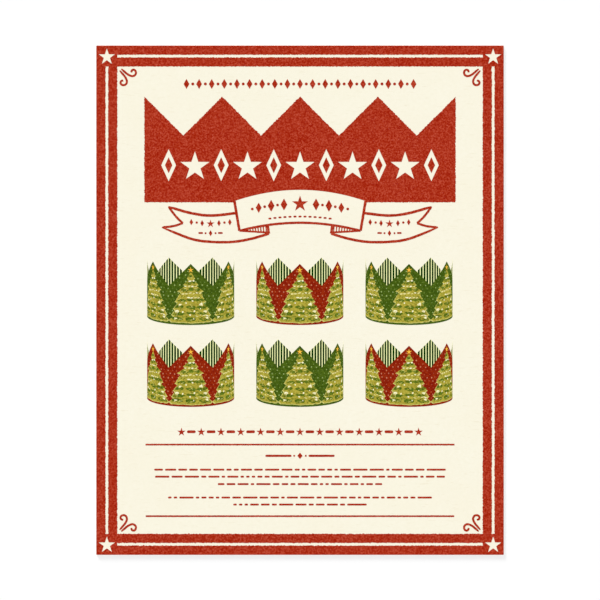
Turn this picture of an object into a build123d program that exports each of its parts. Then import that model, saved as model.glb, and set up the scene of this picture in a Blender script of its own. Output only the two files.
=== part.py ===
from build123d import *
import os

# A printed presentation card of stiff uncoated board, one flat sheet cut square on a guillotine.
# It lies on its back: +Z points out of the printed face, +Y to the head of the print.
# The origin is the middle of the back face, which is the face that it rests on.

# Driving dimensions, in millimetres
CARD_WIDTH = 203.2  # trimmed size across the print, 8 in
CARD_HEIGHT = 254.0  # trimmed size from foot to head, 10 in
BOARD_THICKNESS = 0.5  # 20 point board
CORNER_BLUNTING = 0.4  # radius that handling leaves on a square-cut corner
ROLLED_EDGE = 0.12  # radius of the printed face's edge, which the blade presses down

os.makedirs("parts", exist_ok=True)

with BuildPart() as card:
    with BuildSketch(Plane.XY):
        RectangleRounded(CARD_WIDTH, CARD_HEIGHT, CORNER_BLUNTING)
    extrude(amount=BOARD_THICKNESS)
    printed_face = card.faces().sort_by(Axis.Z)[-1]
    fillet(printed_face.edges(), radius=ROLLED_EDGE)

card.part.label = "card"
export_step(card.part, "parts/card.step")
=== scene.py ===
"""The looks of a printed card: cream board, and its print as thin films of ink that lie on it.

The print is laid out in millimetres from the middle of the card, x to the right and y to the head.
Each piece of print is a list of shapes, an outline and its ink, in painting order. press() cuts the
plane along all the outlines at once, so that every spot has one ink, and makes one closed film.
"""

import math
import random

import bpy
import numpy as np
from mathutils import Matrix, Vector, noise
from mathutils.geometry import delaunay_2d_cdt


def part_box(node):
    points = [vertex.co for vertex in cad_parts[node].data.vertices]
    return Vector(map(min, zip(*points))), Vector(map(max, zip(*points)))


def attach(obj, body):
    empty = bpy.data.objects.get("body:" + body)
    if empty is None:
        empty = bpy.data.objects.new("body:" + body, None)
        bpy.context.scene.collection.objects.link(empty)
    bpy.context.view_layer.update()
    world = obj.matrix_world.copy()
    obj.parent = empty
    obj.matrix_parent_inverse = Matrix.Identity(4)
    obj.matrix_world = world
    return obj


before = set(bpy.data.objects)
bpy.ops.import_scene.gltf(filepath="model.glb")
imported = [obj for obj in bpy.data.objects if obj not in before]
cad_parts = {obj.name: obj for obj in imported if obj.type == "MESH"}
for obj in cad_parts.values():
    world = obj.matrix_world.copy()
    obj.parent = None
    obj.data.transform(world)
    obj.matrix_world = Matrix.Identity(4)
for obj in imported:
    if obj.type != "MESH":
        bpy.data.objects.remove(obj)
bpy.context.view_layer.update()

# Chance: the outlines' wavering, the dashes and the pictured crowns come out alike on each run
noise.seed_set(3)
DASH_SEED = 11
CROWN_SEED = 5

# The card, from the frame, and the two radii that its edges have in the CAD model
MM = 0.001
card_low, card_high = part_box("card")
HALF_WIDTH = (card_high.x - card_low.x) / 2 / MM
HALF_HEIGHT = (card_high.y - card_low.y) / 2 / MM
PRINTED_FACE = card_high.z / MM
CORNER_BLUNTING = 0.4
ROLLED_EDGE = 0.12

# Films of ink
FILM = 0.03  # thickness
SUNK = 0.012  # how far the film's underside lies in the board where the edge rolls over
PROUD = 0.004  # how far its lower lip stands out there
ROLL_STEPS = 4  # faces from the film's flat top round to its lower lip
MERGE = 0.002  # outline points nearer than this become one
APART = 0.1  # how far a corner that two areas share is drawn into each, as a share of the way in
FILM_MAP = "OFBake"
MAP_MARGIN = 0.02  # bare strip round the film's map and between its two sides, as a share of it
UNDERSIDE_SHARE = 0.15  # size of the underside on the film's map, beside its upper side
MAP_LIP = 0.25  # width that a film's wall has on its map

# Border: a broad band to the card's edge with a thin bare line in it, and a star at each corner
BAND = 10.5
LINE_INSET = 5.3  # from the card's edge to the middle of the line
LINE_WIDTH = 1.31
CORNER_STAR = 4.25
STAR_WAIST = 0.385  # inner radius of a star beside its outer one

# Corner scrolls: one strand, in millimetres inward from the corner of the field inside the band
SCROLL = (
    (2.0, 1.2), (3.4, 2.4), (4.8, 3.6), (6.2, 4.45), (7.6, 4.8), (8.8, 4.3),
    (9.3, 3.3), (9.05, 2.2), (8.2, 1.6), (7.3, 1.95), (6.95, 2.95),
)
SCROLL_WIDTH = 1.08

# Banner: a row of points like a crown's, with bare stars and lozenges in place of the title
BANNER_HALF = 77.6  # half its width
BANNER_POINTS = 4  # whole points between its two half points
BANNER_PEAK = HALF_HEIGHT - 25.5
BANNER_VALLEY = HALF_HEIGHT - 44.9
BANNER_FOOT = HALF_HEIGHT - 78.2
JEWEL_ROW = HALF_HEIGHT - 59.7
JEWEL_PITCH = 13.1
JEWELS_A_SIDE = 5
JEWEL_STAR = 7.6
JEWEL_STAR_DROP = 0.7  # a star's middle below the row's, so that its tips and feet look even
JEWEL_HALF_WIDTH = 3.7
JEWEL_HALF_HEIGHT = 8.0

# Ribbon, by its right half: a panel in front, a fold under it and a notched tail
PANEL_TOP = (32.7, 49.4)
PANEL_TOP_RISE = 5.6
PANEL_FOOT = (30.2, 34.6)
PANEL_FOOT_RISE = 4.0
TAIL_TOP = ((65.6, 46.6), (54.3, 43.4), (44.3, 42.2), (32.0, 43.4))
TAIL_NOTCH = ((65.6, 46.6), (61.6, 41.4), (58.4, 38.4), (63.2, 36.9), (68.8, 36.3))
TAIL_FOOT = ((68.8, 36.3), (54.3, 30.6), (44.3, 29.1), (33.3, 29.1), (24.0, 30.7), (15.5, 33.2))
FOLD_SIDE = ((15.5, 33.2), (16.2, 37.6))
FOLD_FOOT = ((30.2, 34.6), (15.6, 33.7))
FOLD_LINES = 8
FOLD_LINE_START = 1.4  # from the fold's side to the first line of its hatching
FOLD_LINE_PITCH = 1.32
FOLD_LINE_LEAN = 0.15  # how far each end of a line stands off its middle

# Ornaments on the ribbon in place of words, by its right half
PANEL_ROW = 48.0
PANEL_STAR = 4.2
PANEL_LOZENGES = ((8.0, 1.7, 3.0), (14.4, 1.7, 3.0), (20.6, 1.5, 2.6))  # place, half size
PANEL_DOTS = (11.2, 17.6, 23.8)
PANEL_DOT = 0.7
PANEL_DASH_ROW = 41.7
PANEL_DASHES = (15.0, 13)  # half the row's length, and how many
PANEL_DASH = (0.8, 0.45)
ROW_ARCH = 0.0045  # a row on the panel falls by this times the square of the way from its middle
TAIL_MIDDLE = 44.6
TAIL_STAR = (38.1, 2.1)  # height and radius
TAIL_LOWER_LOZENGE = (33.4, 0.9, 1.5)  # height, and half its size
TAIL_LOZENGES = ((4.2, 38.4), (9.6, 38.9))  # way out from the tail's middle, and height
TAIL_LOZENGE = (0.9, 1.6)
TAIL_DOTS = ((6.9, 38.7, 0.6), (2.5, 33.4, 0.5))  # way out, height and radius
TAIL_DASH = (4.9, 33.5, 1.2, 0.45)  # way out, height, and half its size

# Lines of print in place of text: height of the line's middle, and half its length
HEADER_LINE = (HALF_HEIGHT - 19.2, 56.6)
HEADER_MARKS = 37  # lozenges and dots by turns
HEADER_LOZENGE = (1.45, 2.5)
HEADER_DOT = 0.75
CONTENTS_LINE = (61.4 - HALF_HEIGHT, 61.0)
CONTENTS_MARKS = 25  # stars and bars by turns
CONTENTS_INSET = 1.9  # from the line's end to the middle of its first star
CONTENTS_STAR = 2.2
CONTENTS_STAR_DROP = 0.15
CONTENTS_BAR = (2.2, 0.7)
RULES = ((55.0 - HALF_HEIGHT, 77.0), (19.3 - HALF_HEIGHT, 76.9))
RULE_WIDTH = 0.85
SUBHEAD_LINE = (49.4 - HALF_HEIGHT, 17.3)
SUBHEAD_LOZENGE = (1.3, 1.6)
SUBHEAD_DOT = (2.9, 0.5)  # way out from the middle, and radius
SUBHEAD_BAR_START = 4.2
SUBHEAD_BAR_HALF_HEIGHT = 0.55

# Dashes in place of the directions: height of each line above the card's foot, and half its length
DIRECTION_LINES = ((42.5, 72.7), (39.0, 72.3), (35.3, 41.0), (28.6, 65.8), (25.1, 33.3))
DASH_LENGTHS = (1.8, 2.6, 3.4, 4.4, 5.6, 7.2)
LEAST_REST = 3.0  # a dash that would leave less than this of its line goes on to the line's end
DASH_HEIGHT = 0.95
DASH_GAP = 1.0

# Pictured crowns: a striped back wall and a front wall with trees, round a cylinder
CROWN_COLUMNS = (-54.5, -0.1, 54.35)
CROWN_ROWS = (-0.05, -40.85)
CROWN_RADIUS = 21.7
CROWN_BASE = -7.95  # height of the foot at the sides
CROWN_STRETCH = 0.96  # drawn height of a millimetre of wall
FOOT_SAG = 4.4
SAG_LOSS = 0.063  # how much less each millimetre up the wall sags
BACK_SAG = -0.3  # the back wall's rise beside the front wall's sag
PEAK_HEIGHT = 29.8
VALLEY_HEIGHT = 18.6
POINT_TURN = 60  # degrees from one point to the next
STRIPE_PITCH = 1.51  # round the back wall
STRIPE_SHARE = 0.68  # part of the pitch that is dark
STRIPE_START = 0.25  # where the first stripe beside the middle stands, in pitches
DOT_PITCH = 2.35  # along a row of the wall's dots
DOT_ROW = 1.75
TREE_TIP = 25.4
TREE_TIERS = (  # height of a tier's tips, their reach in degrees, and the step in to the next
    (22.5, 5.8, 1.0),
    (19.5, 10.3, 1.0),
    (16.2, 17.5, 1.9),
    (11.0, 21.0, 1.5),
    (7.5, 25.0, 1.0),
    (4.4, 27.5, 1.2),
    (1.8, 30.6, 1.0),
)
SPOTTED_TIERS = TREE_TIERS[3:6]  # those with bright spots at their steps
TIER_SWELLS = ((0.3, 0.3), (0.42, -0.05), (0.6, 0.25), (0.72, -0.2))  # way down a tier, and swell
TIP_DROOP = 0.25  # how far a tip's underside hangs where it turns in
TIER_LAP = 0.85  # how far below one tier's tips the next tier starts
TREE_FOOT = 0.9
TREE_FOOT_HALF = 10.2  # half the width of the wavy foot
GARLANDS = (  # height, and the left and right end in arc millimetres
    (21.6, -1.3, 0.9),
    (18.9, -3.3, 2.9),
    (15.4, -4.8, 4.7),
    (13.4, -2.0, 3.6),
    (4.5, 2.0, 8.6),
)
BOUGH_WIDTH = 0.94  # of the boughs' own colour beside the paler tree behind it
BOUGH_RISE = 0.3
NEEDLE_RISE = 1.1  # height of a tier's dark patches above its tips
TREE_STAR_HEIGHT = 26.8
TREE_STAR = 1.6
TREE_STAR_WAIST = 0.32

BARE = None  # painting with it takes the ink away


# ---------------------------------------------------------------- outlines

TAPER = 5
NOISE_LEVEL = 0.37  # the height at which the noise is read, between its whole numbers


def rectangle(x, y, half_width, half_height):
    """An upright rectangle about a place."""
    return [
        (x - half_width, y - half_height),
        (x + half_width, y - half_height),
        (x + half_width, y + half_height),
        (x - half_width, y + half_height),
    ]


def rounded_rectangle(half_width, half_height, radius, steps=4):
    """A rectangle about the middle with arcs for corners."""
    outline = []
    for quarter, (sx, sy) in enumerate(((1, 1), (-1, 1), (-1, -1), (1, -1))):
        for step in range(steps + 1):
            turn = math.radians(90 * (quarter + step / steps))
            outline.append((
                sx * (half_width - radius) + radius * math.cos(turn),
                sy * (half_height - radius) + radius * math.sin(turn),
            ))
    return outline


def star(x, y, radius, waist=STAR_WAIST, points=5):
    """A star with one point up. waist is its inner radius beside its outer one."""
    outline = []
    for corner in range(2 * points):
        turn = math.radians(90 + 180 * corner / points)
        reach = radius if corner % 2 == 0 else radius * waist
        outline.append((x + reach * math.cos(turn), y + reach * math.sin(turn)))
    return outline


def lozenge(x, y, half_width, half_height):
    """An upright lozenge about a place."""
    return [
        (x, y - half_height),
        (x + half_width, y),
        (x, y + half_height),
        (x - half_width, y),
    ]


def dot(x, y, radius, corners=12):
    """A round dot with straight sides too short to see."""
    turns = [2 * math.pi * corner / corners for corner in range(corners)]
    return [(x + radius * math.cos(turn), y + radius * math.sin(turn)) for turn in turns]


def bar(x, y, half_length, half_height, steps=3):
    """A short line with round ends."""
    outline = []
    for side in (1, -1):
        for step in range(2 * steps + 1):
            turn = math.radians(-90 + 90 * step / steps)
            outline.append((
                x + side * (half_length - half_height + half_height * math.cos(turn)),
                y + side * half_height * math.sin(turn),
            ))
    return outline


def smooth_line(points, steps=8):
    """A curve through the points, by Catmull and Rom's rule."""
    ends = [points[0], *points, points[-1]]
    line = []
    for a, b, c, d in zip(ends, ends[1:], ends[2:], ends[3:]):
        a, b, c, d = (np.array(p, float) for p in (a, b, c, d))
        for step in range(steps):
            t = step / steps
            line.append(tuple(
                0.5 * (2 * b + (c - a) * t + (2 * a - 5 * b + 4 * c - d) * t ** 2
                       + (3 * b - a - 3 * c + d) * t ** 3)
            ))
    line.append(tuple(points[-1]))
    return line


def arch(end, rise, steps=24):
    """A shallow arch from one end to its mirror image, as a list of points from left to right."""
    half, foot = end
    return [(x, foot + rise * (1 - (x / half) ** 2)) for x in np.linspace(-half, half, steps + 1)]


def stroke(line, width, start=1.0, end=1.0):
    """The outline of a pen stroke along a line, tapering to the given shares of its width.

    From either end the share of the width grows by TAPER over the length of the line, up to 1.
    """
    line = np.array(line, float)
    along = np.gradient(line, axis=0)
    along /= np.linalg.norm(along, axis=1)[:, None]
    across = np.stack([-along[:, 1], along[:, 0]], 1)
    share = np.linspace(0, 1, len(line))
    taper = np.minimum(start + TAPER * share, end + TAPER * (1 - share))
    half = np.minimum(1, taper) * width / 2
    left, right = line + across * half[:, None], line - across * half[:, None]
    return [tuple(p) for p in left] + [tuple(p) for p in right[::-1]]


def blade(x, y, length, width, slope):
    """A leaf or a dab of the brush, pointed at both ends, as wide as width in the middle."""
    turn = math.radians(slope)
    ux, uy = math.cos(turn), math.sin(turn)
    half, side = length / 2, width / 2
    spots = ((-1, 0), (-0.45, -0.8), (0.3, -1), (1, 0), (0.35, 0.9), (-0.4, 0.85))
    return [
        (x + a * half * ux - b * side * uy, y + a * half * uy + b * side * ux) for a, b in spots
    ]


def resampled(outline, step):
    """The closed outline, with points added so that none lie much further apart than step."""
    made = []
    for (ax, ay), (bx, by) in zip(outline, outline[1:] + outline[:1]):
        parts = max(1, round(math.hypot(bx - ax, by - ay) / step))
        made += [(ax + (bx - ax) * k / parts, ay + (by - ay) * k / parts) for k in range(parts)]
    return made


def rough(outline, depth=0.42, step=0.32, grain=0.34):
    """The outline as it prints on a toothy board: each point strays by up to about depth."""
    made = []
    for x, y in resampled(outline, step):
        stray = noise.noise_vector(Vector((x / grain, y / grain, NOISE_LEVEL)))
        made.append((x + depth * stray.x, y + depth * stray.y))
    return made


def mirrored(outline):
    """The outline on the other side of the card's middle line."""
    return [(-x, y) for x, y in outline]


# ---------------------------------------------------------------- films of ink

def inside(places, outline):
    """The numbers of the places that lie in the outline, by its winding number."""
    near = np.flatnonzero(((places >= outline.min(0)) & (places <= outline.max(0))).all(1))
    x, y = places[near].T[:, :, None]
    ax, ay = outline.T[:, None, :]
    bx, by = np.roll(outline, -1, 0).T[:, None, :]
    side = (bx - ax) * (y - ay) - (x - ax) * (by - ay)
    up = (ay <= y) & (by > y) & (side > 0)
    down = (ay > y) & (by <= y) & (side < 0)
    return near[up.sum(1) != down.sum(1)]


def painted(shapes):
    """Points, triangles and each triangle's ink, for the parts of the plane that any ink covers."""
    corners, edges = [], []
    for outline, _ink in shapes:
        first, count = len(corners), len(outline)
        corners += [Vector(p) for p in outline]
        edges += [(first + k, first + (k + 1) % count) for k in range(count)]
    found = delaunay_2d_cdt(corners, edges, [], 0, MERGE, False)
    points = np.array([p[:] for p in found[0]], float)
    triangles = np.array(found[2])
    middles = points[triangles].mean(1)
    names = sorted({ink for _outline, ink in shapes if ink is not BARE})
    inks = np.full(len(triangles), -1)
    for outline, ink in shapes:
        inks[inside(middles, np.array(outline))] = -1 if ink is BARE else names.index(ink)
    a, b, c = points[triangles].transpose(1, 0, 2)
    to_b, to_c = b - a, c - a
    clockwise = to_b[:, 0] * to_c[:, 1] - to_b[:, 1] * to_c[:, 0] < 0
    triangles[clockwise] = triangles[clockwise][:, ::-1]
    kept = inks >= 0
    return points, triangles[kept].tolist(), inks[kept].tolist(), names


def parted(points, triangles):
    """Gives each group of triangles that meets the others only at a corner a corner of its own."""
    points = points.tolist()
    fans = {}
    for number, triangle in enumerate(triangles):
        for corner in triangle:
            fans.setdefault(corner, []).append(number)
    for corner, left in fans.items():
        while left:
            group = [left.pop(0)]
            for number in group:
                rim = set(triangles[number]) - {corner}
                group += [other for other in left if rim & set(triangles[other])]
                left = [other for other in left if other not in group]
            if not left:
                break
            middle = np.mean([points[c] for number in group for c in triangles[number]], axis=0)
            points.append(list(np.array(points[corner]) * (1 - APART) + middle * APART))
            for number in group:
                triangle = triangles[number]
                triangles[number] = [len(points) - 1 if c == corner else c for c in triangle]
    used = sorted({corner for triangle in triangles for corner in triangle})
    number_of = {corner: number for number, corner in enumerate(used)}
    return np.array([points[c] for c in used]), [[number_of[c] for c in t] for t in triangles]


def outer_loop(points, following):
    """The longest way round: the boundary loop that holds the most area."""
    best, most, left = [], 0.0, dict(following)
    while left:
        start, corner = next(iter(left.items()))
        loop = [start]
        while corner != start:
            loop.append(corner)
            corner = left.pop(corner)
        left.pop(start)
        x, y = points[loop].T
        area = abs((x * np.roll(y, -1) - y * np.roll(x, -1)).sum())
        if area > most:
            best, most = loop, area
    return best


def press(name, shapes, over_edge=False):
    """One closed film of ink on the board. With over_edge it goes down the card's rolled edge."""
    points, triangles, inks, names = painted(shapes)
    points, triangles = parted(points, triangles)
    count = len(points)
    owner = {(t[k], t[(k + 1) % 3]): ink for t, ink in zip(triangles, inks) for k in range(3)}
    rim = {a: b for a, b in owner if (b, a) not in owner}
    corners = [(x, y, height) for height in (PRINTED_FACE + FILM, PRINTED_FACE) for x, y in points]

    # Its map: the upper side, the underside beside it at a smaller size, and walls as narrow lips
    low, size = points.min(0), np.ptp(points, axis=0)
    room = 1 - 2 * MAP_MARGIN
    scale = min(room / size[1], (room - MAP_MARGIN) / (size[0] * (1 + UNDERSIDE_SHARE)))
    upper = (points - low) * scale + MAP_MARGIN
    under = (points - low) * scale * UNDERSIDE_SHARE + MAP_MARGIN
    under[:, 0] += size[0] * scale + MAP_MARGIN
    faces = [list(t) for t in triangles] + [[c + count for c in reversed(t)] for t in triangles]
    spots = [upper[t] for t in triangles] + [under[t[::-1]] for t in triangles]
    fills = inks + inks

    # Upright walls, except at the card's edge
    rolled = outer_loop(points, rim) if over_edge else []
    on_roll = set(rolled)
    for a, b in rim.items():
        if a in on_roll:
            continue
        along = points[b] - points[a]
        lip = np.array([along[1], -along[0]]) / max(np.linalg.norm(along), 1e-9) * MAP_LIP * scale
        faces.append([a, a + count, b + count, b])
        spots.append(np.array([upper[a], upper[a] + lip, upper[b] + lip, upper[b]]))
        fills.append(owner[a, b])

    # The card's edge: rings of corners go out over the roll to the lip, and back in under it
    if over_edge:
        flat = np.array([HALF_WIDTH, HALF_HEIGHT]) - CORNER_BLUNTING
        ring = points[rolled]
        outward = ring - np.clip(ring, -flat, flat)
        outward /= np.linalg.norm(outward, axis=1)[:, None]
        rings = [(rolled, 0.0)]
        for step in (*range(1, ROLL_STEPS + 1), *range(ROLL_STEPS, 0, -1)):
            over = len(rings) <= ROLL_STEPS
            turn = math.radians(90 * step / ROLL_STEPS)
            fading = PROUD + (FILM - PROUD) * (1 - step / ROLL_STEPS)
            radius = ROLLED_EDGE + (fading if over else -SUNK)
            first = len(corners)
            height = PRINTED_FACE - ROLLED_EDGE + radius * math.cos(turn)
            for x, y in ring + outward * radius * math.sin(turn):
                corners.append((x, y, height))
            rings.append((list(range(first, first + len(ring))), step / ROLL_STEPS))
        rings.append(([c + count for c in rolled], 0.0))
        for (above, share), (below, further) in zip(rings, rings[1:]):
            for k in range(len(rolled)):
                n = (k + 1) % len(rolled)
                faces.append([above[k], below[k], below[n], above[n]])
                reach = outward[[k, k, n, n]] * np.array([share, further, further, share])[:, None]
                inner = upper[[rolled[k], rolled[k], rolled[n], rolled[n]]]
                spots.append(inner + reach * MAP_LIP * scale)
                fills.append(owner[rolled[k], rolled[n]])

    mesh = bpy.data.meshes.new(name)
    mesh.from_pydata([(x * MM, y * MM, z * MM) for x, y, z in corners], [], faces)
    for ink in names:
        mesh.materials.append(INKS[ink])
    mesh.polygons.foreach_set("material_index", fills)
    film_map = mesh.uv_layers.new(name=FILM_MAP)
    film_map.data.foreach_set("uv", np.concatenate(spots).astype(np.float32).ravel())
    mesh.update()
    piece = bpy.data.objects.new(name, mesh)
    bpy.context.scene.collection.objects.link(piece)
    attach(piece, "root")


# ---------------------------------------------------------------- materials

class Nodes:
    """Short ways to make the nodes of one material, in the card's own metres."""

    def __init__(self, name):
        self.material = bpy.data.materials.new(name)
        self.material.use_nodes = True
        self.tree = self.material.node_tree
        self.shader = self.tree.nodes["Principled BSDF"]
        self.place = self.tree.nodes.new("ShaderNodeTexCoord").outputs["Object"]

    def add(self, kind, settings=(), **inputs):
        node = self.tree.nodes.new(kind)
        for key, value in dict(settings).items():
            setattr(node, key, value)
        for key, value in inputs.items():
            self.set(node.inputs[key.replace("_", " ")], value)
        return node

    def set(self, socket, value):
        if isinstance(value, bpy.types.NodeSocket):
            self.tree.links.new(value, socket)
        else:
            socket.default_value = value

    def noise(self, size, detail=2.0, roughness=0.5, stretch=None, turn=0.0):
        """Noise with lumps about size millimetres across. stretch is the scales of its space."""
        place = self.place
        if stretch:
            place = self.add(
                "ShaderNodeMapping",
                Vector=place,
                Rotation=(0, 0, math.radians(turn)),
                Scale=stretch,
            ).outputs[0]
        return self.add(
            "ShaderNodeTexNoise",
            Vector=place,
            Scale=1 / (size * MM),
            Detail=detail,
            Roughness=roughness,
        ).outputs["Fac"]

    def spread(self, value, low, high, to_low=0.0, to_high=1.0):
        """The value moved from the range low to high to the range to_low to to_high."""
        return self.add(
            "ShaderNodeMapRange",
            Value=value,
            From_Min=low,
            From_Max=high,
            To_Min=to_low,
            To_Max=to_high,
        ).outputs[0]

    def mix(self, share, first, second):
        node = self.add("ShaderNodeMix", {"data_type": "RGBA"})
        self.set(node.inputs[0], share)
        self.set(node.inputs[6], first)
        self.set(node.inputs[7], second)
        return node.outputs[2]

    def bump(self, height, depth, strength=1.0, under=None):
        node = self.add("ShaderNodeBump", Height=height, Distance=depth * MM, Strength=strength)
        if under:
            self.set(node.inputs["Normal"], under)
        return node.outputs[0]


def linear(red, green, blue):
    """A colour given in steps of 255, as the shader wants it."""
    shares = (c / 255 for c in (red, green, blue))
    return (*(s / 12.92 if s <= 0.04045 else ((s + 0.055) / 1.055) ** 2.4 for s in shares), 1.0)


def printed_ink(name, colour, lift, grain=0.8, swing=0.13):
    """Matt ink whose strength wavers from spot to spot, with flecks where the board took less.

    lift is how many steps of 255 the thinner spots are paler in red, green and blue. grain is the
    size of the spots in millimetres, and swing says how gently they fade into each other.
    """
    n = Nodes(name)
    dark, light, bare = (
        tuple(min(max(c + share * step, 3), 250) for c, step in zip(colour, lift))
        for share in (-0.8, 1.0, 2.6)
    )
    fine = n.noise(grain, detail=3.0, roughness=0.7)
    cloud = n.noise(14.0, detail=2.0)
    tooth = n.noise(0.28, detail=2.0, roughness=0.6)
    mottle = n.mix(n.spread(fine, 0.5 - swing, 0.5), linear(*dark), linear(*colour))
    mottle = n.mix(n.spread(fine, 0.5, 0.5 + swing), mottle, linear(*light))
    mottle = n.mix(n.spread(cloud, 0.4, 0.7, 0.0, 0.1), mottle, linear(*light))
    flecks = n.spread(n.noise(0.55, detail=1.0), 0.66, 0.74, 0.0, 0.4)
    mottle = n.mix(flecks, mottle, linear(*bare))
    n.set(n.shader.inputs["Base Color"], mottle)
    n.set(n.shader.inputs["Roughness"], n.spread(fine, 0.3, 0.7, 0.82, 0.95))
    n.set(n.shader.inputs["Specular IOR Level"], 0.01)
    n.set(n.shader.inputs["Normal"], n.bump(tooth, 0.012, 0.5, n.bump(fine, 0.02, 0.4)))
    return n.material


def cream_board():
    """Uncoated cream board: faint clouds, short fibres, tooth, and layers at the cut edges."""
    n = Nodes("cream_board")
    cloud = n.noise(22.0, detail=3.0)
    mottle = n.noise(1.6, detail=3.0, roughness=0.6)
    tooth = n.noise(0.35, detail=3.0, roughness=0.65)
    colour = n.mix(n.spread(cloud, 0.3, 0.7), linear(243, 238, 218), linear(244, 240, 222))
    colour = n.mix(n.spread(mottle, 0.35, 0.65, 0.0, 0.5), colour, linear(240, 235, 214))
    for turn in (24, 97, 158):
        fibre = n.noise(0.9, detail=1.0, stretch=(0.16, 1.5, 1.0), turn=turn)
        colour = n.mix(n.spread(fibre, 0.70, 0.76, 0.0, 0.22), colour, linear(220, 208, 176))
    geometry = n.add("ShaderNodeNewGeometry")
    upright = n.add("ShaderNodeSeparateXYZ", Vector=geometry.outputs["True Normal"]).outputs["Z"]
    level = n.add("ShaderNodeMath", {"operation": "ABSOLUTE"}, Value=upright).outputs[0]
    steep = n.spread(level, 0.1, 0.5, 1.0, 0.0)
    layers = n.noise(0.05, detail=2.0, stretch=(0.05, 0.05, 1.0))
    cut = n.mix(n.spread(layers, 0.35, 0.65), linear(230, 222, 200), linear(244, 240, 228))
    colour = n.mix(steep, colour, cut)
    n.set(n.shader.inputs["Base Color"], colour)
    n.set(n.shader.inputs["Roughness"], n.spread(tooth, 0.3, 0.7, 0.82, 0.95))
    n.set(n.shader.inputs["Specular IOR Level"], 0.1)
    n.set(n.shader.inputs["Normal"], n.bump(tooth, 0.02, 0.5, n.bump(mottle, 0.03, 0.3)))
    return n.material


def floor_paint():
    """Plain near white with a haze too faint to see as a pattern."""
    n = Nodes("studio_floor")
    haze = n.noise(160.0, detail=2.0)
    n.set(n.shader.inputs["Base Color"], n.mix(haze, (0.93, 0.93, 0.93, 1), (0.95, 0.95, 0.95, 1)))
    n.set(n.shader.inputs["Roughness"], 0.9)
    n.set(n.shader.inputs["Specular IOR Level"], 0.1)
    return n.material


INK_COLOURS = {  # red, green and blue in steps of 255
    "red": (166, 44, 16),
    "wall_red": (136, 31, 10),
    "bright_dot_red": (191, 119, 90),
    "dim_dot_red": (170, 87, 61),
    "wall_green": (65, 88, 18),
    "bright_dot_green": (141, 161, 95),
    "dim_dot_green": (103, 127, 59),
    "stripe": (12, 50, 3),
    "stripe_gap": (247, 249, 180),
    "bough": (168, 157, 57),
    "shade": (147, 129, 37),
    "needle": (79, 101, 20),
    "leaf": (99, 117, 32),
    "sprig": (199, 193, 109),
    "glow": (248, 242, 202),
    "glimmer": (222, 212, 144),
    "gold": (247, 183, 63),
}
LIFTS = {"red": (22, 31, 38), "stripe": (10, 14, 4), "wall_red": (20, 18, 4)}
PLAIN_LIFT = (18, 18, 9)
INKS = {
    name: printed_ink(f"{name}_ink", colour, LIFTS.get(name, PLAIN_LIFT))
    for name, colour in INK_COLOURS.items()
}


# ---------------------------------------------------------------- print: border, banner, ribbon

def border():
    """The band, its bare line in four parts, and a bare star where the parts would meet."""
    field = (HALF_WIDTH - BAND, HALF_HEIGHT - BAND)
    line = (HALF_WIDTH - LINE_INSET, HALF_HEIGHT - LINE_INSET)
    whole = rounded_rectangle(
        HALF_WIDTH - ROLLED_EDGE, HALF_HEIGHT - ROLLED_EDGE, CORNER_BLUNTING - ROLLED_EDGE
    )
    shapes = [(whole, "red"), (rough(rectangle(0, 0, *field)), BARE)]
    # A star's tip is further from its middle than its feet are, which drop makes up for
    drop = CORNER_STAR * (1 - math.cos(math.radians(36))) / 2
    for side in (-1, 1):
        shapes.append((rough(rectangle(side * line[0], 0, LINE_WIDTH / 2, field[1])), BARE))
        shapes.append((rough(rectangle(0, side * line[1], field[0], LINE_WIDTH / 2)), BARE))
        for end in (-1, 1):
            mark = star(side * line[0], end * line[1] - drop, CORNER_STAR)
            shapes.append((rough(mark, 0.1), BARE))
    press("border_ink", shapes, over_edge=True)


def corner_scrolls():
    """A strand and its mirror image in each corner of the field."""
    corner = (HALF_WIDTH - BAND, HALF_HEIGHT - BAND)
    line = smooth_line(SCROLL, steps=5)
    strands = (line, [(y, x) for x, y in line])
    for number, (sx, sy) in enumerate(((-1, 1), (1, 1), (-1, -1), (1, -1)), start=1):
        shapes = []
        for strand in strands:
            placed = [(sx * (corner[0] - x), sy * (corner[1] - y)) for x, y in strand]
            shapes.append((rough(stroke(placed, SCROLL_WIDTH, 0.55, 0.75), 0.07), "red"))
        press(f"corner_scroll_{number}", shapes)


def panel_outline():
    """The ribbon's front panel, which covers the banner's foot."""
    return arch(PANEL_TOP, PANEL_TOP_RISE) + arch(PANEL_FOOT, PANEL_FOOT_RISE)[::-1]


def fold_hatching():
    """Short lines across the ribbon's fold, from the panel's foot to the fold's own foot."""
    lines = []
    for number in range(FOLD_LINES):
        x = FOLD_SIDE[0][0] + FOLD_LINE_START + FOLD_LINE_PITCH * number
        head = PANEL_FOOT[1] + PANEL_FOOT_RISE * (1 - (x / PANEL_FOOT[0]) ** 2)
        (ax, ay), (bx, by) = FOLD_FOOT
        foot = ay + (by - ay) * (x - ax) / (bx - ax)
        lines.append(((x + FOLD_LINE_LEAN, head), (x - FOLD_LINE_LEAN, foot)))
    return lines


def ribbon_strokes():
    """The right half's pen strokes and the panel's foot, and their mirror images."""
    half = [
        stroke(smooth_line(TAIL_TOP), 1.35, 0.45),
        stroke(smooth_line(TAIL_NOTCH[:3], 4), 1.15, 0.6),
        stroke(smooth_line(TAIL_NOTCH[2:], 4), 1.15, 1.0, 0.5),
        stroke(smooth_line(TAIL_FOOT), 1.3, 0.45),
        stroke(smooth_line((PANEL_TOP, PANEL_FOOT), 10), 1.35),
        stroke(smooth_line(FOLD_SIDE, 5), 1.3),
        stroke(smooth_line(FOLD_FOOT, 8), 0.95),
    ]
    half += [stroke(smooth_line(line, 3), 0.6) for line in fold_hatching()]
    foot = stroke(arch(PANEL_FOOT, PANEL_FOOT_RISE), 1.2)
    return [rough(s, 0.11, 0.6) for s in (foot, *half, *(mirrored(s) for s in half))]


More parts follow.
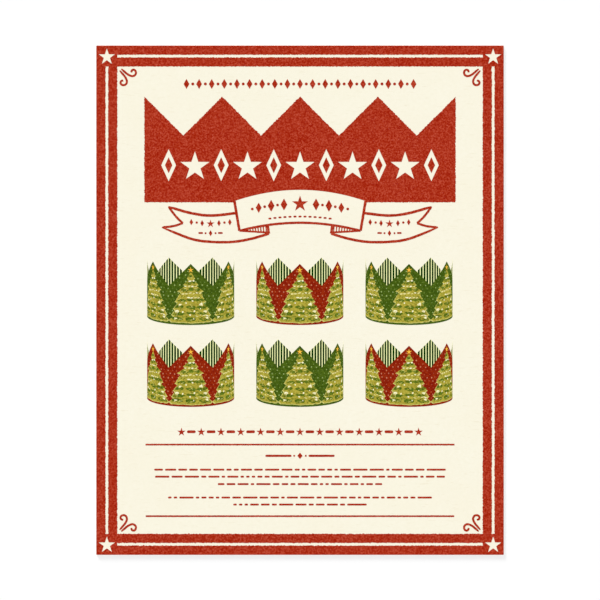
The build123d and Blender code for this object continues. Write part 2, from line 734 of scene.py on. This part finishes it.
def on_row(x, height):
    """A place on a row of the panel, which arches as the panel does."""
    return x, height - ROW_ARCH * x * x


def ribbon_ornaments():
    """Two rows of stars, lozenges, dots and dashes on the panel, and two on each tail."""
    made = [star(0, PANEL_ROW, PANEL_STAR)]
    half, count = PANEL_DASHES
    for x in np.linspace(-half, half, count):
        made.append(bar(*on_row(x, PANEL_DASH_ROW), *PANEL_DASH))
    for side in (-1, 1):
        for x, half_width, half_height in PANEL_LOZENGES:
            made.append(lozenge(*on_row(side * x, PANEL_ROW), half_width, half_height))
        for x in PANEL_DOTS:
            made.append(dot(*on_row(side * x, PANEL_ROW), PANEL_DOT))
        middle = side * TAIL_MIDDLE
        made.append(star(middle, *TAIL_STAR))
        made.append(lozenge(middle, *TAIL_LOWER_LOZENGE))
        for end in (-1, 1):
            for out, height in TAIL_LOZENGES:
                made.append(lozenge(middle + end * out, height, *TAIL_LOZENGE))
            for out, height, radius in TAIL_DOTS:
                made.append(dot(middle + end * out, height, radius))
            out, *dash = TAIL_DASH
            made.append(bar(middle + end * out, *dash))
    return [rough(outline, 0.06, 0.5) for outline in made]


def banner():
    """The pointed banner with its row of bare jewels, and the ribbon that lies over its foot."""
    pitch = 2 * BANNER_HALF / BANNER_POINTS
    outline = [(-BANNER_HALF, BANNER_FOOT), (BANNER_HALF, BANNER_FOOT)]
    for half_step in range(2 * BANNER_POINTS + 1):
        height = BANNER_VALLEY if half_step % 2 else BANNER_PEAK
        outline.append((BANNER_HALF - pitch / 2 * half_step, height))
    shapes = [(rough(outline), "red")]
    for place in range(-JEWELS_A_SIDE, JEWELS_A_SIDE + 1):
        x = place * JEWEL_PITCH
        if place % 2:
            outer = lozenge(x, JEWEL_ROW, JEWEL_HALF_WIDTH, JEWEL_HALF_HEIGHT)
            inner = lozenge(x, JEWEL_ROW, JEWEL_HALF_WIDTH * 0.5, JEWEL_HALF_HEIGHT * 0.5)
            shapes += [(rough(outer, 0.08), BARE), (rough(inner, 0.06), "red")]
        else:
            jewel = star(x, JEWEL_ROW - JEWEL_STAR_DROP, JEWEL_STAR)
            shapes.append((rough(jewel, 0.08), BARE))
    strokes = ribbon_strokes()
    shapes += [(outline, BARE) for outline in (panel_outline(), *strokes)]
    press("banner_ink", shapes)
    ribbon = [(outline, "red") for outline in (*strokes, *ribbon_ornaments())]
    press("ribbon_ink", ribbon)


# ---------------------------------------------------------------- print: lines and rules

def header_line():
    """Lozenges and dots in place of the line above the banner."""
    height, half = HEADER_LINE
    shapes = []
    for number, x in enumerate(np.linspace(-half, half, HEADER_MARKS)):
        outline = dot(x, height, HEADER_DOT) if number % 2 else lozenge(x, height, *HEADER_LOZENGE)
        shapes.append((rough(outline, 0.06, 0.5), "red"))
    press("header_ornament", shapes)


def contents_line():
    """Stars and bars in place of the line below the pictures."""
    height, half = CONTENTS_LINE
    ends = (-half + CONTENTS_INSET, half - CONTENTS_INSET)
    shapes = []
    for number, x in enumerate(np.linspace(*ends, CONTENTS_MARKS)):
        if number % 2:
            outline = bar(x, height, *CONTENTS_BAR)
        else:
            outline = star(x, height - CONTENTS_STAR_DROP, CONTENTS_STAR)
        shapes.append((rough(outline, 0.05, 0.5), "red"))
    press("contents_ornament", shapes)


def rules():
    """The two long rules above and below the small print."""
    for name, (height, half) in zip(("rule_upper", "rule_lower"), RULES):
        rule = rough(rectangle(0, height, half, RULE_WIDTH / 2), 0.13)
        press(name, [(rule, "red")])


def subhead_line():
    """A lozenge between two dots and two bars in place of the sub-heading."""
    height, half = SUBHEAD_LINE
    outlines = [lozenge(0, height, *SUBHEAD_LOZENGE)]
    for side in (-1, 1):
        middle = side * (half + SUBHEAD_BAR_START) / 2
        half_length = (half - SUBHEAD_BAR_START) / 2
        outlines.append(bar(middle, height, half_length, SUBHEAD_BAR_HALF_HEIGHT))
        outlines.append(dot(side * SUBHEAD_DOT[0], height, SUBHEAD_DOT[1]))
    shapes = [(rough(outline, 0.05, 0.5), "red") for outline in outlines]
    press("subhead_ornament", shapes)


def direction_lines():
    """Plain dashes of uneven length in place of small print."""
    chance = random.Random(DASH_SEED)
    shapes = []
    for up, half in DIRECTION_LINES:
        x = -half
        while x < half:
            length = chance.choice(DASH_LENGTHS)
            if x + length > half - LEAST_REST:
                length = half - x
            outline = bar(x + length / 2, up - HALF_HEIGHT, length / 2, DASH_HEIGHT / 2)
            shapes.append((rough(outline, 0.05, 0.6), "red"))
            x += length + DASH_GAP
    press("direction_dashes", shapes)


# ---------------------------------------------------------------- print: pictured crowns

def on_wall(turn, height, sag_share=1.0):
    """Where a point of the wall is drawn. turn is in degrees from the front."""
    angle = math.radians(max(-90.0, min(90.0, turn)))
    sag = (FOOT_SAG - SAG_LOSS * height) * sag_share
    y = CROWN_BASE + CROWN_STRETCH * height - sag * math.cos(angle)
    return CROWN_RADIUS * math.sin(angle), y


def wall_top(turn, first_point=0):
    """The wall's height at a turn: points stand every POINT_TURN degrees from first_point on."""
    away = abs((turn - first_point + POINT_TURN / 2) % POINT_TURN - POINT_TURN / 2)
    return PEAK_HEIGHT - (PEAK_HEIGHT - VALLEY_HEIGHT) * away / (POINT_TURN / 2)


def wrapped(outline, middle=0.0):
    """An outline in arc millimetres and height, laid round the wall at a turn."""
    per_mm = 180 / math.pi / CROWN_RADIUS
    return [on_wall(middle + x * per_mm, height) for x, height in outline]


def front_wall():
    """The near half of the crown, with a point in the middle and one towards each side."""
    turns = range(-90, 91, 3)
    return [on_wall(t, 0) for t in turns] + [on_wall(t, wall_top(t)) for t in reversed(turns)]


def back_strip(left, right):
    """The back wall between two drawn places, from behind the front wall up to its points."""
    a, b = (math.degrees(math.asin(max(-1, min(1, x / CROWN_RADIUS)))) for x in (left, right))
    bends = [t for t in range(-90, 91, 5) if a < t < b]
    top = [on_wall(t, wall_top(t, POINT_TURN / 2), BACK_SAG) for t in (a, *bends, b)]
    return [(left, 0.0), (right, 0.0), *reversed(top)]


def back_wall():
    """Pale, with upright stripes that stand closer together towards the sides."""
    shapes = [(back_strip(-CROWN_RADIUS, CROWN_RADIUS), "stripe_gap")]
    for side in (-1, 1):
        arc = STRIPE_START * STRIPE_PITCH
        while arc < math.radians(88) * CROWN_RADIUS:
            ends = (arc + way * STRIPE_SHARE * STRIPE_PITCH / 2 for way in (-side, side))
            left, right = (side * CROWN_RADIUS * math.sin(end / CROWN_RADIUS) for end in ends)
            shapes.append((back_strip(left, right), "stripe"))
            arc += STRIPE_PITCH
    return shapes


def arc_of(reach):
    """The length on the wall of a turn in degrees."""
    return math.radians(reach) * CROWN_RADIUS


def tree_outline(chance):
    """Tiers that droop to pointed tips, no two sides alike, and a wavy foot."""
    sides = []
    for way in (-1, 1):
        side = []
        inner, level = 0.0, TREE_TIP
        for height, reach, step_in in TREE_TIERS:
            tip = arc_of(reach) + chance.uniform(-0.4, 0.4)
            fall = level - height
            for share, swell in TIER_SWELLS:
                swell = (swell + chance.uniform(-0.1, 0.1)) * min(1.0, fall / 4)
                x = inner + (tip - inner) * share + swell
                side.append((way * x, level - fall * share))
            side.append((way * tip, height))
            side.append((way * (tip - step_in * 0.6), height - TIP_DROOP))
            inner, level = tip - step_in, height - TIER_LAP
            side.append((way * inner, level))
        sides.append([(x, max(y, TREE_FOOT + 0.3)) for x, y in side])
    along = np.linspace(TREE_FOOT_HALF, -TREE_FOOT_HALF, 17)
    foot = [(x, TREE_FOOT + chance.uniform(-0.3, 0.25)) for x in along]
    return [(0.0, TREE_TIP), *sides[1], *foot, *reversed(sides[0])]


def half_width_at(height):
    """Half the tree's width at a height, short of its ragged edge, in arc millimetres."""
    heights = [tier[0] for tier in TREE_TIERS][::-1] + [TREE_TIP]
    reaches = [arc_of(tier[1]) - 1.2 for tier in TREE_TIERS][::-1] + [0.1]
    return float(np.interp(height, heights, reaches))


def patch(x, y, half_width, half_height, chance, corners=13):
    """A rounded patch with an uneven edge."""
    outline = []
    for corner in range(corners):
        turn = 2 * math.pi * corner / corners
        reach = chance.uniform(0.7, 1.2)
        across, up = half_width * math.cos(turn), half_height * math.sin(turn)
        outline.append((x + reach * across, y + reach * up))
    return outline


def needle_stroke(x, height, ink, chance):
    """A short stroke that points away from the trunk, flatter the further out it is."""
    slope = -90 + math.copysign(90 - 7 * min(abs(x), 9) + chance.uniform(-25, 25), x)
    return blade(x, height, chance.uniform(0.8, 2.0), chance.uniform(0.24, 0.44), slope), ink


def needles(chance):
    """Dark patches side by side a little above each tier's tips, with paler strokes over them."""
    dabs = []
    for height, _reach, _step in TREE_TIERS:
        half = half_width_at(height + NEEDLE_RISE) + 0.7
        count = min(3, math.ceil(half / 2.6))
        for number in range(count):
            x = half * ((2 * number + 1) / count - 1) + chance.uniform(-0.4, 0.4)
            y = height + NEEDLE_RISE + chance.uniform(-0.3, 0.3)
            half_width = half / count * chance.uniform(0.75, 1.1)
            dabs.append((patch(x, y, half_width, chance.uniform(0.65, 1.0), chance), "needle"))
            for ink in ("leaf", "leaf", "bough", "leaf", "leaf"):
                along = x + half_width * chance.uniform(-0.8, 0.8)
                dabs.append(needle_stroke(along, y + chance.uniform(-0.6, 0.6), ink, chance))
    return dabs


def sprigs(chance):
    """Short strokes all over the tree that fan out from the trunk."""
    dabs = []
    counts = (("leaf", 60), ("shade", 44), ("bough", 36), ("needle", 44), ("sprig", 24))
    for ink, count in counts:
        for _number in range(count):
            height = TREE_FOOT + 0.8 + 22.0 * (1 - math.sqrt(chance.random()))
            x = chance.uniform(-1, 1) * half_width_at(height)
            dabs.append(needle_stroke(x, height, ink, chance))
    return dabs


def garlands(chance):
    """Broken strings of light, bright spots at some tiers' steps, and a few sparks."""
    dabs = []
    for height, left, right in GARLANDS:
        x = left
        while x < right:
            length = chance.uniform(1.2, 2.1)
            y = height + chance.uniform(-0.3, 0.3)
            ink = "glow" if chance.random() < 0.75 else "glimmer"
            width = chance.uniform(0.4, 0.8)
            slope = chance.uniform(-20, 20)
            dabs.append((blade(x + length / 2, y, length, width, slope), ink))
            x += length * 0.8 + chance.uniform(0.0, 0.7)
    for height, reach, _step in SPOTTED_TIERS:
        for way in (-1, 1):
            x = way * (arc_of(reach) - 2.4 + chance.uniform(-0.4, 0.4))
            y = height - 1.2 + chance.uniform(-0.3, 0.3)
            if chance.random() < 0.8:
                half_width = chance.uniform(0.6, 1.1)
                half_height = chance.uniform(0.35, 0.6)
                dabs.append((patch(x, y, half_width, half_height, chance, 9), "glow"))
                dabs.append((blade(x, y - 0.3, 2.4, 0.5, -way * 25), "glimmer"))
    for _number in range(9):
        height = chance.uniform(2.2, 13.0)
        x = chance.uniform(-0.8, 0.8) * half_width_at(height)
        radius = chance.uniform(0.25, 0.5)
        dabs.append((patch(x, height, radius, radius, chance, 7), "glow"))
    return dabs


def wall_dots(chance):
    """Staggered rows of pale dots all over the front wall."""
    dots = []
    reach = math.radians(90) * CROWN_RADIUS
    for row in range(1, int(PEAK_HEIGHT / DOT_ROW)):
        for column in range(-int(reach / DOT_PITCH), int(reach / DOT_PITCH) + 1):
            x = (column + row % 2 / 2) * DOT_PITCH + chance.uniform(-0.4, 0.4)
            height = row * DOT_ROW + chance.uniform(-0.35, 0.35)
            bright = chance.random() < 0.5
            radius = chance.uniform(0.34, 0.44) if bright else chance.uniform(0.22, 0.32)
            if height < wall_top(math.degrees(x / CROWN_RADIUS)) - 1.0:
                dots.append((dot(x, height, radius, 8), "bright_dot" if bright else "dim_dot"))
    return dots


def crown_shapes():
    """One picture about its own middle. Its wall and dots get their inks in crown_pictures."""
    chance = random.Random(CROWN_SEED)
    shapes = [*back_wall(), (front_wall(), "wall")]
    shapes += [(wrapped(outline), ink) for outline, ink in wall_dots(chance)]
    outline = tree_outline(chance)
    boughs = [(BOUGH_WIDTH * x, y + BOUGH_RISE) for x, y in outline]
    tree = [(outline, "sprig"), (boughs, "bough")]
    tree += [*needles(chance), *sprigs(chance), *garlands(chance)]
    tree.append((star(0, TREE_STAR_HEIGHT, TREE_STAR, TREE_STAR_WAIST), "gold"))
    for turn in (-POINT_TURN, POINT_TURN, 0):
        shapes += [(wrapped(outline, turn), ink) for outline, ink in tree]
    return shapes


def crown_pictures():
    """Green and red crowns by turns, from the upper left."""
    shapes = crown_shapes()
    number = 0
    for row, y in enumerate(CROWN_ROWS):
        for column, x in enumerate(CROWN_COLUMNS):
            number += 1
            colour = "red" if (row + column) % 2 else "green"
            inks = {part: f"{part}_{colour}" for part in ("wall", "bright_dot", "dim_dot")}
            placed = [([(x + px, y + py) for px, py in o], inks.get(ink, ink)) for o, ink in shapes]
            press(f"crown_picture_{number}", placed)


# ---------------------------------------------------------------- stage

FLOOR_HALF = 4.0  # half its side, in metres
SKY_LIGHT = 0.5  # how strongly the even sky lights the card
SKY_SEEN = 1.0  # how bright it looks past the floor's edge in a low view, as white as the floor
VIEW_WIDTH = 299.16  # width of the view at the height of the printed face, in millimetres
VIEW_SHIFT = 0.085  # how far the view's middle is above the card's, in millimetres


def floor():
    """A plain square that the card lies on."""
    mesh = bpy.data.meshes.new("floor")
    corners = rectangle(0, 0, FLOOR_HALF, FLOOR_HALF)
    mesh.from_pydata([(x, y, 0) for x, y in corners], [], [(0, 1, 2, 3)])
    mesh.materials.append(floor_paint())
    made = bpy.data.objects.new("floor", mesh)
    bpy.context.scene.collection.objects.link(made)


def sun(name, towards, strength, angle):
    """A soft distant light that shines from the given direction."""
    data = bpy.data.lights.new(name, "SUN")
    data.energy = strength
    data.angle = math.radians(angle)
    lamp = bpy.data.objects.new(name, data)
    lamp.rotation_euler = Vector(towards).to_track_quat("Z", "Y").to_euler()
    bpy.context.scene.collection.objects.link(lamp)


def studio():
    """Even light from above, and a low soft key from the upper left for the card's thin shadow."""
    world = bpy.data.worlds.new("studio")
    world.use_nodes = True
    sky = world.node_tree.nodes["Background"]
    sky.inputs["Color"].default_value = (1, 1, 1, 1)
    path = world.node_tree.nodes.new("ShaderNodeLightPath")
    strength = world.node_tree.nodes.new("ShaderNodeMapRange")
    strength.inputs["To Min"].default_value = SKY_LIGHT
    strength.inputs["To Max"].default_value = SKY_SEEN
    world.node_tree.links.new(path.outputs["Is Camera Ray"], strength.inputs["Value"])
    world.node_tree.links.new(strength.outputs["Result"], sky.inputs["Strength"])
    bpy.context.scene.world = world
    sun("overhead", (0.0, 0.0, 1.0), strength=1.3, angle=40)
    sun("low_key", (-2.6, 5.6, 1.0), strength=3.2, angle=9)
    bpy.context.scene.view_settings.view_transform = "Standard"


def camera():
    """Straight down on the card from far off, the card's head at the top of the frame."""
    data = bpy.data.cameras.new("camera")
    data.lens = 100
    data.sensor_width = 36
    away = VIEW_WIDTH * MM * data.lens / data.sensor_width
    made = bpy.data.objects.new("camera", data)
    made.location = (0, VIEW_SHIFT * MM, card_high.z + away)
    bpy.context.scene.collection.objects.link(made)
    bpy.context.scene.camera = made


# ---------------------------------------------------------------- the card

camera()
studio()
floor()
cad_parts["card"].material_slots[0].material = cream_board()
border()
corner_scrolls()
header_line()
banner()
crown_pictures()
contents_line()
rules()
subhead_line()
direction_lines()
